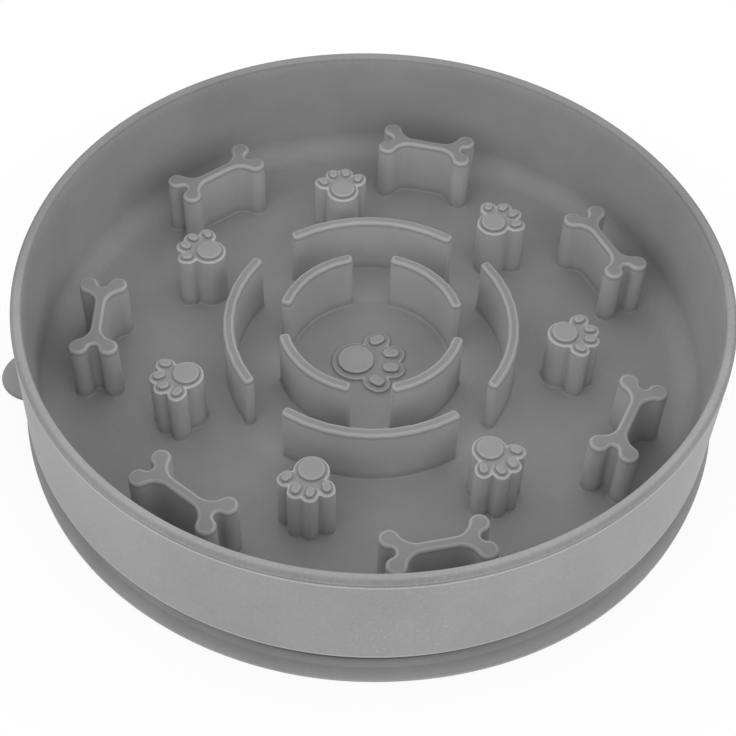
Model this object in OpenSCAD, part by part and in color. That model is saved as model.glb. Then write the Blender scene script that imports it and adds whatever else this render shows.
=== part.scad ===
// Slow feeder bowl in silicone, on a suction base.
// Bones stand in a ring along the wall, paws in a ring inside it, and two broken rings of curved
// walls surround a well in the middle, so the food has to be licked out from between them.
// Origin: on the bowl's axis, on the surface it stands on. +Z is up. The release tab is on the -X side.

/* [Bowl] */
// Outer diameter of the rim
rim_d = 200; // [188:1:240]
// Height of the rim above the table
bowl_h = 45; // [38:0.5:60]
// Thickness of the wall at the rim
wall_t = 3; // [2.4:0.1:3.6]
// Rounding of the rim's outer edge
rim_round = 1.4; // [0.8:0.1:1.6]
// Rounding of the rim's inner edge
rim_inner_round = 0.6; // [0.3:0.1:0.8]
// How much further out the wall's lower edge is than the rim
wall_flare = 0.7; // [0:0.1:2]
// How much the inside narrows from the rim down to the floor's fillet
inner_draft = 1; // [0.2:0.1:2]
// Height of the floor's upper face above the table
floor_z = 7.5; // [6.5:0.1:9]
// Thickness of the floor, and of the rounded corner between floor and wall
floor_t = 3; // [2.4:0.1:4]
// Inner radius of the rounded corner between floor and wall
corner_r = 7; // [5:0.5:9]
// Height of the wall's lower edge above the floor's upper face
wall_edge_rise = 2.9; // [2:0.1:3.5]
// Rounding of the wall's lower edge
wall_edge_round = 0.5; // [0.3:0.1:0.8]

/* [Suction base] */
// How far the sealing lip stands out past the wall's lower edge
lip_out = 1.3; // [1:0.1:4]
// Thickness of the sealing lip
lip_t = 1.9; // [1.5:0.1:2.4]
// Width of the flat top of the sealing lip
lip_w = 3.4; // [2.5:0.1:5]
// Width of the flat ring that touches the table
seal_w = 7; // [5:0.5:10]
// How far the neck under the floor stays in from the start of the rounded corner
neck_inset = 4; // [2:0.5:8]
// Depth of the hollow under the base at its middle
suction_depth = 2; // [1:0.1:2.4]

/* [Release tab] */
// Direction of the tab, counted from +X
tab_angle = 181; // [150:1:210]
// Width of the tab
tab_w = 19; // [14:0.5:26]
// How far the tab sticks out past the sealing lip
tab_reach = 8; // [6:0.5:14]
// Thickness of the tab
tab_t = 1.7; // [1.4:0.1:2]
// Height of the tab's underside above the table
tab_lift = 0.3; // [0.2:0.05:0.5]
// How far inside the lip's edge the tab bends
tab_root = 2.4; // [2:0.1:4]
// Gap around the tab's root
tab_gap = 0.25; // [0.2:0.05:0.4]

/* [Posts and curved walls] */
// Height of the posts and curved walls above the floor
post_h = 19.5; // [12:0.5:24]

/* [Bones] */
// Number of bones
bone_count = 7; // [5:1:8]
// Direction of the first bone, counted from +X
bone_angle = 180; // [0:1:359]
// Gap between the bones' outer knobs and the foot of the wall
bone_wall_gap = 10.4; // [8:0.1:16]
// Distance between the knobs along the bone
knob_pitch = 24; // [20:0.5:30]
// Distance between the two knobs of one end
knob_spacing = 8.4; // [7.6:0.1:10]
// Radius of the knobs
knob_r = 2.85; // [2.5:0.05:3.2]
// Thickness of the shaft
shaft_t = 3.2; // [2.4:0.1:4.4]
// Radius where the shaft runs into the knobs
shaft_blend = 5; // [4:0.1:7]
// Radius of the notch between two knobs
notch_r = 1.42; // [1.35:0.01:2]

/* [Paws] */
// Number of paws
paw_count = 7; // [5:1:8]
// How far the first paw stands round from the first bone
paw_shift = 22.3; // [15:0.1:36]
// Gap between the paws' toes and the bones' inner knobs
paw_bone_gap = 5.7; // [5:0.1:12]
// Radius of the raised pad
pad_r = 3.7; // [3:0.1:4.4]
// Half width of a raised toe
toe_r = 1.15; // [0.9:0.05:1.4]
// Length of a raised toe beyond its width
toe_stretch = 1; // [0.4:0.1:1.6]
// Distance from the pad's centre to the two middle toes
toe_reach = 7.2; // [6.8:0.1:8.4]
// Half the distance between the two middle toes
toe_half_gap = 1.95; // [1.7:0.05:2.4]
// Distance from the pad's centre to the two outer toes, along the paw
side_toe_reach = 4.3; // [3.6:0.1:5]
// Half the distance between the two outer toes
side_toe_half_gap = 5.5; // [5:0.1:6.4]
// Width of the ledge around the raised pad and toes
ledge_w = 1.2; // [0.8:0.1:1.5]
// Height of the raised pad and toes above the ledge
pad_raise = 1; // [0.6:0.1:1.6]
// Rounding of the raised pad's edge
pad_round = 0.6; // [0.3:0.1:0.7]

/* [Curved walls] */
// Thickness of the curved walls
arc_t = 3.2; // [2.8:0.1:4.5]
// Rounding of the upright edges at their ends
arc_end_round = 1.2; // [1.1:0.1:1.3]
// Rounding of their top edges
top_round = 1; // [0.5:0.1:1]
// Radius of the fillet at their feet
foot_fillet = 1.2; // [0.6:0.1:1.3]
// Gap between the outer curved walls and the paws
arc_paw_gap = 8.1; // [5:0.1:10]
// Gap between the outer and the inner curved walls
ring_gap = 12.3; // [8:0.1:14]
// Width of the slots between the outer curved walls, at mid thickness
outer_slot = 13.5; // [8:0.1:20]
// Width of the slots between the inner curved walls, at mid thickness
inner_slot = 11.6; // [7:0.1:16]

/* [Paw in the well] */
// Size of the paw on the floor, compared with the paws on the posts
well_paw_scale = 1.45; // [1.1:0.05:1.6]
// Height of its ledge above the floor
well_ledge_h = 1; // [0.8:0.1:2]
// Rounding of its pad's edge
well_round = 0.5; // [0.3:0.1:0.6]
// How far its pad lies from the bowl's axis
well_paw_shift = 4.2; // [3:0.1:6]

/* [Hidden] */
wall_count = 4;

silicone = [0.47, 0.47, 0.47];
silicone_light = [0.6, 0.6, 0.6];
silicone_dark = [0.42, 0.42, 0.42];
$fn = 96;
turned_fn = 180;
slack = 0.01;

// Bowl, as radii and heights of its section
rim_r = rim_d / 2;
rim_inner_r = rim_r - wall_t;
wall_foot_r = rim_r + wall_flare;
wall_edge_z = floor_z + wall_edge_rise;
inner_foot_r = rim_inner_r - inner_draft;
corner_x = inner_foot_r - corner_r;
corner_z = floor_z + corner_r;
corner_outer_r = corner_r + floor_t;
floor_bottom = floor_z - floor_t;
wall_step_r = corner_x + sqrt(pow(corner_outer_r, 2) - pow(corner_z - wall_edge_z, 2));

// Suction base
lip_r = wall_foot_r + lip_out;
lip_round = lip_t / 3;
neck_r = corner_x - neck_inset;
seal_r = lip_r - seal_w;
dome_steps = 12;
dome_points = [for (i = [0 : dome_steps]) let (t = i / dome_steps)
    [seal_r * t, suction_depth * (1 - t * t)]];

// Release tab: its bend line lies at tab_root inside the lip's edge, and its tip is a half circle
hinge_x = lip_r - tab_root;
edge_r = tab_t / 2;
hinge_z = tab_lift + edge_r;
tab_tip_r = tab_w / 2;
tab_tip_x = max(hinge_x, lip_r + tab_reach - tab_tip_r);

// Bones: centres of the round cutters that shape the shaft and the notches
blend_y = shaft_t / 2 + shaft_blend;
blend_x = knob_pitch / 2 - sqrt(pow(shaft_blend + knob_r, 2) - pow(blend_y - knob_spacing / 2, 2));
notch_x = knob_pitch / 2 + sqrt(pow(notch_r + knob_r, 2) - pow(knob_spacing / 2, 2));
bone_half_w = knob_spacing / 2 + knob_r;
bone_ring_r = inner_foot_r - bone_wall_gap - bone_half_w;
bone_step = 360 / bone_count;

// Paws: the ring is placed by the pad's centre
side_toe_turn = 30;
toe_column_r = toe_r + ledge_w;
pad_column_r = pad_r + ledge_w;
ledge_h = post_h - pad_raise;
paw_tip = toe_reach + toe_stretch / 2 + toe_column_r;
pad_ring_r = bone_ring_r - bone_half_w - paw_bone_gap - paw_tip;
paw_step = 360 / paw_count;

// Curved walls, placed inwards from the paws
outer_arc_r = pad_ring_r - pad_column_r - arc_paw_gap - arc_t / 2;
inner_arc_r = outer_arc_r - arc_t - ring_gap;
arc_step = 360 / wall_count;

module bowl_section() {
    // floor
    translate([0, floor_bottom])
        square([corner_x + slack, floor_t]);
    // rounded corner
    translate([corner_x, corner_z])
        intersection() {
            difference() {
                circle(corner_outer_r);
                circle(corner_r);
            }
            translate([0, -corner_outer_r])
                square(corner_outer_r);
        }
    // wall, with its lower edge standing out past the corner
    polygon([
        [wall_step_r, wall_edge_z],
        [wall_foot_r - wall_edge_round, wall_edge_z],
        [wall_foot_r, wall_edge_z + wall_edge_round],
        [rim_r, bowl_h - rim_round],
        [rim_r - rim_round, bowl_h],
        [rim_inner_r + rim_inner_round, bowl_h],
        [rim_inner_r, bowl_h - rim_inner_round],
        [inner_foot_r, corner_z]
    ]);
    translate([wall_foot_r - wall_edge_round, wall_edge_z + wall_edge_round])
        circle(wall_edge_round);
    translate([rim_r - rim_round, bowl_h - rim_round])
        circle(rim_round);
    translate([rim_inner_r + rim_inner_round, bowl_h - rim_inner_round])
        circle(rim_inner_round);
}

module bowl() {
    color(silicone)
        rotate_extrude($fn = turned_fn)
            bowl_section();
}

module base_section() {
    polygon([
        [0, 0],
        [lip_r - lip_round, 0],
        [lip_r, lip_round],
        [lip_r, lip_t - lip_round],
        [lip_r - lip_round, lip_t],
        [lip_r - lip_w, lip_t],
        [neck_r, floor_bottom],
        [0, floor_bottom]
    ]);
    for (z = [lip_round, lip_t - lip_round])
        translate([lip_r - lip_round, z])
            circle(lip_round);
}

module suction_base() {
    color(silicone_dark)
        difference() {
            rotate_extrude($fn = turned_fn)
                base_section();
            // shallow domed hollow that is pressed flat to grip the table
            rotate_extrude($fn = turned_fn)
                polygon(concat([[0, -slack]], dome_points, [[seal_r, -slack]]));
            rotate([0, 0, tab_angle])
                tab_recess();
        }
}

// Room in the lip for the tab's root, round at the bend line
module tab_recess() {
    room_w = tab_w + 2 * tab_gap;
    translate([hinge_x, -room_w / 2, -slack])
        cube([tab_root + slack, room_w, lip_t + 2 * slack]);
    translate([hinge_x, 0, hinge_z])
        rotate([90, 0, 0])
            cylinder(r = edge_r + tab_gap, h = room_w, center = true);
}

// Half of the tab's section, with its round edge
module tab_section() {
    square([tab_tip_r - edge_r, tab_t]);
    translate([tab_tip_r - edge_r, edge_r])
        intersection() {
            circle(edge_r);
            translate([0, -edge_r])
                square([edge_r, tab_t]);
        }
}

module release_tab() {
    color(silicone_dark)
        rotate([0, 0, tab_angle]) {
            // round tip
            translate([tab_tip_x, 0, tab_lift])
                rotate([0, 0, -90])
                    rotate_extrude(angle = 180)
                        tab_section();
            // straight stretch from the bend line to the tip
            translate([hinge_x, 0, tab_lift])
                rotate([90, 0, 90])
                    linear_extrude(tab_tip_x - hinge_x)
                        for (side = [0, 1])
                            mirror([side, 0])
                                tab_section();
            // round edge along the bend line
            translate([hinge_x, 0, hinge_z])
                rotate([90, 0, 0])
                    cylinder(r = edge_r, h = tab_w - 2 * edge_r, center = true);
        }
}

// Section of a turned column with a rounded top and a fillet at its foot
module column_section(r, h, top, foot) {
    intersection() {
        union() {
            square([r, h - top]);
            square([r - top, h]);
            translate([r - top, h - top])
                circle(top);
        }
        square([r, h]);
    }
    if (foot > 0)
        difference() {
            square([r + foot, foot]);
            translate([r + foot, foot])
                circle(foot);
        }
}

module column(r, h, top = top_round, foot = foot_fillet) {
    rotate_extrude()
        column_section(r, h, top, foot);
}

// Stretch of a section, of the given length along X and centred on the origin
module run(length) {
    translate([-length / 2, 0, 0])
        rotate([90, 0, 90])
            linear_extrude(length)
                children();
}

// Outline of a bone with its length along X
module bone_outline() {
    half = knob_pitch / 2;
    rise = knob_spacing / 2;
    difference() {
        polygon([
            [notch_x, 0], [half, rise], [blend_x, blend_y], [-blend_x, blend_y], [-half, rise],
            [-notch_x, 0], [-half, -rise], [-blend_x, -blend_y], [blend_x, -blend_y], [half, -rise]
        ]);
        for (side = [-1, 1]) {
            for (end = [-1, 1])
                translate([end * blend_x, side * blend_y])
                    circle(shaft_blend);
            translate([0, side * blend_y])
                square(2 * [blend_x, shaft_blend], center = true);
            translate([side * notch_x, 0])
                circle(notch_r);
        }
    }
    for (x = [-half, half], y = [-rise, rise])
        translate([x, y])
            circle(knob_r);
}

module bone_post(h) {
    linear_extrude(h)
        bone_outline();
}

module bone(i) {
    color(silicone_light)
        rotate([0, 0, bone_angle - i * bone_step])
            translate([bone_ring_r, 0, floor_z])
                rotate([0, 0, 90])
                    bone_post(post_h);
}

module at_toes() {
    for (side = [-1, 1]) {
        translate([toe_reach, side * toe_half_gap, 0])
            children();
        translate([side_toe_reach, side * side_toe_half_gap, 0])
            rotate([0, 0, side * side_toe_turn])
                children();
    }
}

// Outline of one toe, a little longer than it is wide
module toe_outline(r) {
    for (x = [-toe_stretch / 2, toe_stretch / 2])
        translate([x, 0])
            circle(r);
    square([toe_stretch, 2 * r], center = true);
}

// Outline of a paw with its pad at the origin and its toes towards +X
module paw_outline() {
    circle(pad_column_r);
    at_toes()
        toe_outline(toe_column_r);
    polygon([
        [0, 0], [side_toe_reach, -side_toe_half_gap], [toe_reach, -toe_half_gap],
        [toe_reach, toe_half_gap], [side_toe_reach, side_toe_half_gap]
    ]);
}

// Raised toe with a rounded top
module toe(h, round) {
    for (turn = [0, 180])
        rotate([0, 0, turn])
            translate([toe_stretch / 2, 0, 0])
                rotate([0, 0, -90])
                    rotate_extrude(angle = 180)
                        column_section(toe_r, h, round, 0);
    run(toe_stretch)
        for (side = [0, 1])
            mirror([side, 0])
                column_section(toe_r, h, round, 0);
}

// A ledge that carries a raised pad and toes
module paw_shape(ledge, raise, round) {
    linear_extrude(ledge)
        paw_outline();
    translate([0, 0, ledge]) {
        column(pad_r, raise, round, 0);
        at_toes()
            toe(raise, round);
    }
}

module paw(i) {
    color(silicone_light)
        rotate([0, 0, bone_angle + paw_shift - i * paw_step])
            translate([pad_ring_r, 0, floor_z])
                paw_shape(ledge_h, pad_raise, pad_round);
}

module well_paw() {
    k = well_paw_scale;
    color(silicone)
        translate([-well_paw_shift, 0, floor_z])
            scale(k)
                paw_shape(well_ledge_h / k, pad_raise / k, well_round / k);
}

// Section of a curved wall, centred on its middle
module arc_section() {
    for (side = [0, 1])
        mirror([side, 0])
            column_section(arc_t / 2, post_h, top_round, foot_fillet);
}

// End of a curved wall, with its upright edges rounded
module arc_end() {
    flat = arc_t / 2 - arc_end_round;
    for (x = [-flat, flat])
        translate([x, 0, 0])
            column(arc_end_round, post_h);
    run(2 * flat)
        for (side = [0, 1])
            mirror([side, 0])
                column_section(arc_end_round, post_h, top_round, foot_fillet);
}

// Curved wall that fills a quarter turn from the given direction, less half a slot at each end
module arc_wall(r, slot, start) {
    half_gap = asin((slot / 2 + arc_end_round) / r);
    rotate([0, 0, start]) {
        rotate([0, 0, half_gap])
            rotate_extrude(angle = arc_step - 2 * half_gap, $fn = turned_fn)
                translate([r, 0])
                    arc_section();
        for (a = [half_gap, arc_step - half_gap])
            rotate([0, 0, a])
                translate([r, 0, 0])
                    arc_end();
    }
}

module outer_wall(i) {
    color(silicone_light)
        translate([0, 0, floor_z])
            arc_wall(outer_arc_r, outer_slot, arc_step / 2 - i * arc_step);
}

module inner_wall(i) {
    color(silicone_light)
        translate([0, 0, floor_z])
            arc_wall(inner_arc_r, inner_slot, -i * arc_step);
}

bowl();
suction_base();
release_tab();
for (i = [0 : wall_count - 1]) {
    outer_wall(i);
    inner_wall(i);
}
for (i = [0 : bone_count - 1])
    bone(i);
for (i = [0 : paw_count - 1])
    paw(i);
well_paw();
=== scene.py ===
"""Looks of a slow feeder bowl in grey silicone, built around its packed CAD frame."""
import math
from collections import namedtuple

import bmesh
import bpy
import numpy as np
from bpy.props import FloatProperty, FloatVectorProperty, IntProperty, PointerProperty
from mathutils import Matrix, Vector


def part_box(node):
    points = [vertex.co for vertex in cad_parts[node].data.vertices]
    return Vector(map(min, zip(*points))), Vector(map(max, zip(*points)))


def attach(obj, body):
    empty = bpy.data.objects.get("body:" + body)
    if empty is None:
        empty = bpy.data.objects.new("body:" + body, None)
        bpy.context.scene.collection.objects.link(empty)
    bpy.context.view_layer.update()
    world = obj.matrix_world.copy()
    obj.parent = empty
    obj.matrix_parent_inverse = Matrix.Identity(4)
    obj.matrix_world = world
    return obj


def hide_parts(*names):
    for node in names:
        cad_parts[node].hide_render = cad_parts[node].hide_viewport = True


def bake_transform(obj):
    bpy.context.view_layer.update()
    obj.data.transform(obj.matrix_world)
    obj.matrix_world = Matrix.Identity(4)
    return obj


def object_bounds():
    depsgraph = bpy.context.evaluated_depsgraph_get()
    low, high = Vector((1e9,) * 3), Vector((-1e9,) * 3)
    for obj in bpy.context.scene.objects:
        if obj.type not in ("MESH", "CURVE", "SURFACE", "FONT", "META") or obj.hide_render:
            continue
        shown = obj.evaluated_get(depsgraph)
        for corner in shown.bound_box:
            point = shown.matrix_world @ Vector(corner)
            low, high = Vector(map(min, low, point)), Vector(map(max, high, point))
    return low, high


bl_info = {
    "name": "Slow Feeder Bowl",
    "version": (1, 0, 0),
    "blender": (4, 5, 0),
    "location": "3D View > Sidebar > Feeder",
    "description": "Builds a silicone slow feeder bowl with its finish, light and camera",
    "category": "Object",
}

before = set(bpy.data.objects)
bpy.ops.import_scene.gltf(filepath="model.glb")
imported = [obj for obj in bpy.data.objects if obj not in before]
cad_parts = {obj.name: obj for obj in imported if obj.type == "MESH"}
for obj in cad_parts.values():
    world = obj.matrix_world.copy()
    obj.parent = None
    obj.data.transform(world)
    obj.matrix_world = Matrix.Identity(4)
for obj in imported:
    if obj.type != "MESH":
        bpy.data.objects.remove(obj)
CAD_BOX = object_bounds()

MM = 0.001
RING_NODES = {
    "outer_walls": [f"outer_wall_{i}" for i in range(1, 5)],
    "inner_walls": [f"inner_wall_{i}" for i in range(1, 5)],
    "bones": [f"bone_{i}" for i in range(1, 8)],
    "paws": [f"paw_{i}" for i in range(1, 8)],
}
# Point attribute with painted highlights (above 0) and painted shade (below 0) along edges
PAINTED_EDGES = "painted_edges"
MERGE_DISTANCE = 0.001 * MM
QUARTER = math.pi / 2
ARC_STEP = math.radians(9)

# Steps round the axis of a turned moulding, in the hollow's section, and in small roundings
TURN_STEPS = 288
DOME_STEPS = 8
POST_ROUND_STEPS = 6
TAB_EDGE_STEPS = 10

# Levels of a post, as lengths or as shares of its straight side and of its top rounding
POST_SKIRT = 0.5 * MM
POST_SIDE_LEVELS = (0.05, 0.35, 0.65)
TOP_SUPPORT = 0.2
TOP_INSET = 0.1
RELIEF_SUNK = 0.3 * MM

# Search for a paw's outline along rays from its middle, with reaches in millimetres
PAW_RAYS = 144
PAW_MIDDLE = 0.4
PAW_REACH = 16
PAW_CORE = 0.2
PAW_STEP = 0.05
PAW_HALVINGS = 12

# Painted highlights (above 0) and painted shade (below 0) along edges, in multiples of Edges: highlights on
# the roundings and top edges of posts, painted light on the paw's raised tops, a highlight on the wall's
# lower rounding, painted shade on the rim's outer rounding and on the lip's lower and upper roundings
ROUNDING_HIGHLIGHT = 1.9
TOP_EDGE_HIGHLIGHT = 0.25
RELIEF_TOP_LIGHT = 0.65
LOWER_ROUNDING_HIGHLIGHT = 0.6
RIM_ROUNDING_SHADE = -0.8
LIP_LOWER_SHADE = -2.2
LIP_UPPER_SHADE = -1.0

# Painted highlight line on the wall's lower edge: (height above the edge's rounding, painted edge shading)
LOWER_EDGE_LINE = ((0.2 * MM, 1.5), (0.5 * MM, 0.5))
# Bead and groove under the rim's rounding, with a painted highlight on the bead and painted shade in the
# groove: (how far out of the wall, how far under the rounding, painted edge shading)
RIM_BEAD = ((0.03 * MM, 1.5 * MM, 0.0), (0.05 * MM, 1.15 * MM, 1.6), (0.04 * MM, 0.9 * MM, 0.9),
            (-0.12 * MM, 0.6 * MM, -1.2), (-0.1 * MM, 0.2 * MM, -0.9))
# Degrees of the rim's rounding at which it leaves the groove
RIM_START = 5
# Distance of the extra points on both sides of a corner in the lip's section
LIP_SUPPORT = 0.08 * MM
# Waves of the soft wall round the bowl: (how many, where they start, how large), and how far in they sit
WALL_WAVES = ((3, 0.7, 1.0), (5, 2.1, 0.6))
WAVE_INSET = 0.4

# The tab's root and bend: rounding of the root, where cuts across the tab start and end, half the bend
ROOT_ROUND = 0.2 * MM
BEND_BEFORE = 0.5 * MM
BEND_PAST = 3 * MM
BEND_CUTS = 12
BEND_HALF = 0.9 * MM
RECESS_PAST_LIP = 2 * MM

# Strengths of the patterns in the silicone's tone, roughness and surface
BLOTCHES = 0.8
POWDER = 1.4
PLAIN_DUST = 0.04
PLAIN_SPECKS = 0.03
OUTSIDE_DUST = 0.18
# Painted light on the inner wall just under the rim, as a share of the outside's paler colour
RIM_INSIDE_LIGHT = 0.8
CLOUD_ROUGHNESS = 0.16
GRAIN_ROUGHNESS = 0.08
WEAR_POLISH = 0.06
BUMP_STRENGTH = 0.12
BUMP_DEPTH = 0.05 * MM
SPECK_RELIEF = 0.4
SILICONE_IOR = 1.41
# Tones of the base as parts of its colour: painted shadow in the crease under the bowl's edge, painted
# shade next to it, painted light at the lip's edge, and the tab's own tone
BASE_SHADES = (0.28, 0.76, 1.1, 0.9)

# Sockets of a Mix node that are there for colours
COLOUR_A, COLOUR_B, COLOUR_RESULT = 6, 7, 2

BOWL_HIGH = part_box("bowl")[1]
BASE_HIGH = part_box("suction_base")[1]
POST_LOW, POST_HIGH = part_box("bone_1")
TAB_LOW, TAB_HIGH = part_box("release_tab")


# Properties

def length(name, description, default):
    """A size in metres."""
    return FloatProperty(name=name, description=description, default=default, min=0.0, unit="LENGTH",
                         precision=5)


def direction(name, description, degrees):
    """An angle. Places on the bowl are counted from +X, against the clock."""
    return FloatProperty(name=name, description=description, default=math.radians(degrees),
                         subtype="ANGLE")


def share(name, description, default):
    """A part of one."""
    return FloatProperty(name=name, description=description, default=default, min=0.0, max=1.0,
                         subtype="FACTOR")


def colour(name, description, grey):
    """A colour, given as one grey because the silicone is neutral."""
    return FloatVectorProperty(name=name, description=description, default=(grey, grey, grey),
                               subtype="COLOR", min=0.0, max=1.0, size=3)


class BowlSizes(bpy.types.PropertyGroup):
    """Sizes of the bowl's own moulding."""

    foot_radius: length("Wall foot radius", "Radius of the wall's lower edge, outside", BOWL_HIGH.y)
    height: length("Height", "Height of the rim above the table", BOWL_HIGH.z)
    flare: length("Flare", "How much further out the wall's lower edge is than the rim", 0.7 * MM)
    wall: length("Wall", "Thickness of the wall at the rim", 3 * MM)
    draft: length("Draft", "How much the inside narrows from the rim to the corner", 1 * MM)
    rim_round: length("Rim rounding", "Rounding of the rim's outer edge", 1.4 * MM)
    rim_inner_round: length("Inner rim rounding", "Rounding of the rim's inner edge", 0.8 * MM)
    floor: length("Floor", "Height of the floor's upper face", POST_LOW.z)
    floor_thickness: length("Floor thickness", "Thickness of floor and corner", 3 * MM)
    corner: length("Corner", "Inner radius between floor and wall", 7 * MM)
    edge_rise: length("Wall edge", "Height of the wall's lower edge above the floor", 2.9 * MM)
    edge_round: length("Wall edge rounding", "Rounding of the wall's lower edge", 0.5 * MM)
    wobble: length("Wobble", "How far the soft wall strays from a true circle", 0.12 * MM)
    bulge: length("Bulge", "How far the rim is bent outwards at one place", 0.95 * MM)
    bulge_angle: direction("Bulge direction", "Where the rim is bent outwards", -8)
    bulge_spread: direction("Bulge spread", "How far the bend goes round from there", 54)


class BaseSizes(bpy.types.PropertyGroup):
    """Sizes of the suction base and its release tab."""

    lip_radius: length("Lip radius", "Radius of the sealing lip", BASE_HIGH.y)
    lip_thickness: length("Lip thickness", "Thickness of the lip at its edge", 1.9 * MM)
    lip_width: length("Lip width", "Width of the flat top of the lip", 3.4 * MM)
    seal_width: length("Seal width", "Width of the ring that touches the table", 7 * MM)
    neck_inset: length("Neck inset", "How far the neck is inside the corner's start", 4 * MM)
    hollow: length("Hollow", "Depth of the hollow under the base", 2 * MM)
    bulge: length("Bulge", "How far the soft lip is bent outwards at one place", 0.6 * MM)
    bulge_angle: direction("Bulge direction", "Where the lip is bent outwards", -57)
    bulge_spread: direction("Bulge spread", "How far the bend goes round from there", 33)
    dent: length("Dent", "How far the soft lip is bent inwards at another place", 0.35 * MM)
    dent_angle: direction("Dent direction", "Where the lip is bent inwards", 198)
    dent_spread: direction("Dent spread", "How far the dent goes round from there", 28)
    tab_angle: direction("Tab direction", "Where the release tab is", 181)
    tab_width: length("Tab width", "Width of the release tab", TAB_HIGH.y - TAB_LOW.y)
    tab_reach: length("Tab reach", "How far the tab sticks out past the lip", 8 * MM)
    tab_root: length("Tab root", "How far inside the lip's edge the tab bends", 2.4 * MM)
    tab_embedded: length("Tab embedded", "How far the tab reaches into the base behind its bend", 3.5 * MM)
    tab_gap: length("Tab gap", "Gap that the tab's root fills on each side in the lip", 0.25 * MM)


class PostSizes(bpy.types.PropertyGroup):
    """Sizes of the posts and curved walls that stand on the floor."""

    height: length("Post height", "Height of posts and walls above the floor", POST_HIGH.z - POST_LOW.z)
    top_round: length("Top rounding", "Rounding of their top edges", 1 * MM)
    foot_fillet: length("Foot fillet", "Radius of the fillet at their feet", 0.6 * MM)
    wall_thickness: length("Curved wall", "Thickness of the curved walls", 3.2 * MM)
    wall_end_round: length("Wall ends", "Rounding of their upright edges", 1.2 * MM)
    outer_ring: length("Outer ring", "Radius of the middle of the outer curved walls", 41.15 * MM)
    inner_ring: length("Inner ring", "Radius of the middle of the inner curved walls", 25.65 * MM)
    paw_ring: length("Paw ring", "Distance of the paws' pads from the middle", 55.75 * MM)
    outer_slot: length("Outer slot", "Slot between two outer curved walls", 13.5 * MM)
    inner_slot: length("Inner slot", "Slot between two inner curved walls", 11.6 * MM)
    knob_pitch: length("Knob pitch", "Distance between the knobs along a bone", 24 * MM)
    knob_spacing: length("Knob spacing", "Distance between the two knobs of one end", 8.4 * MM)
    knob_radius: length("Knob radius", "Radius of a knob", 2.85 * MM)
    shaft: length("Shaft", "Thickness of a bone's shaft", 3.2 * MM)
    shaft_blend: length("Shaft blend", "Radius where the shaft runs into the knobs", 5 * MM)
    notch: length("Notch", "Radius of the notch between two knobs", 1.42 * MM)
    bone_count: IntProperty(name="Bones", description="Number of bones", default=7, min=1)
    paw_count: IntProperty(name="Paws", description="Number of paws", default=7, min=1)
    bone_angle: direction("First bone", "Direction of the first bone", 180)
    paw_shift: direction("Paw shift", "How far the first paw stands round from the first bone", 22.3)


class PawSizes(bpy.types.PropertyGroup):
    """Sizes of a paw, with its pad at the origin and its toes towards +X."""

    pad: length("Pad", "Radius of the raised pad", 3.7 * MM)
    toe: length("Toe", "Half width of a raised toe", 1.15 * MM)
    toe_stretch: length("Toe stretch", "Length of a toe beyond its width", 1 * MM)
    toe_reach: length("Toe reach", "Distance from the pad to the middle toes", 7.2 * MM)
    toe_half_gap: length("Toe half gap", "Half the distance between the middle toes", 1.95 * MM)
    side_reach: length("Side toe reach", "Distance from the pad to the outer toes, along the paw", 4.3 * MM)
    side_half_gap: length("Side toe half gap", "Half the distance between the outer toes", 5.5 * MM)
    side_turn: direction("Side toe turn", "How far the outer toes are turned", 30)
    ledge: length("Ledge", "Width of the ledge around pad and toes", 1.2 * MM)
    raised: length("Raised", "Height of pad and toes above the ledge", 1 * MM)
    rounding: length("Rounding", "Rounding of the pad, toes and ledge", 0.6 * MM)
    blend: length("Blend", "How softly the ledge's lobes run into each other", 0.7 * MM)
    well_scale: FloatProperty(name="Well paw size", description="Size of the paw in the well, compared "
                              "with the paws on the posts", default=1.45, min=0.1)
    well_ledge: length("Well ledge", "Height of the well paw's ledge above the floor", 1 * MM)
    well_rounding: length("Well rounding", "Rounding of the well paw's edges", 0.5 * MM)


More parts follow.
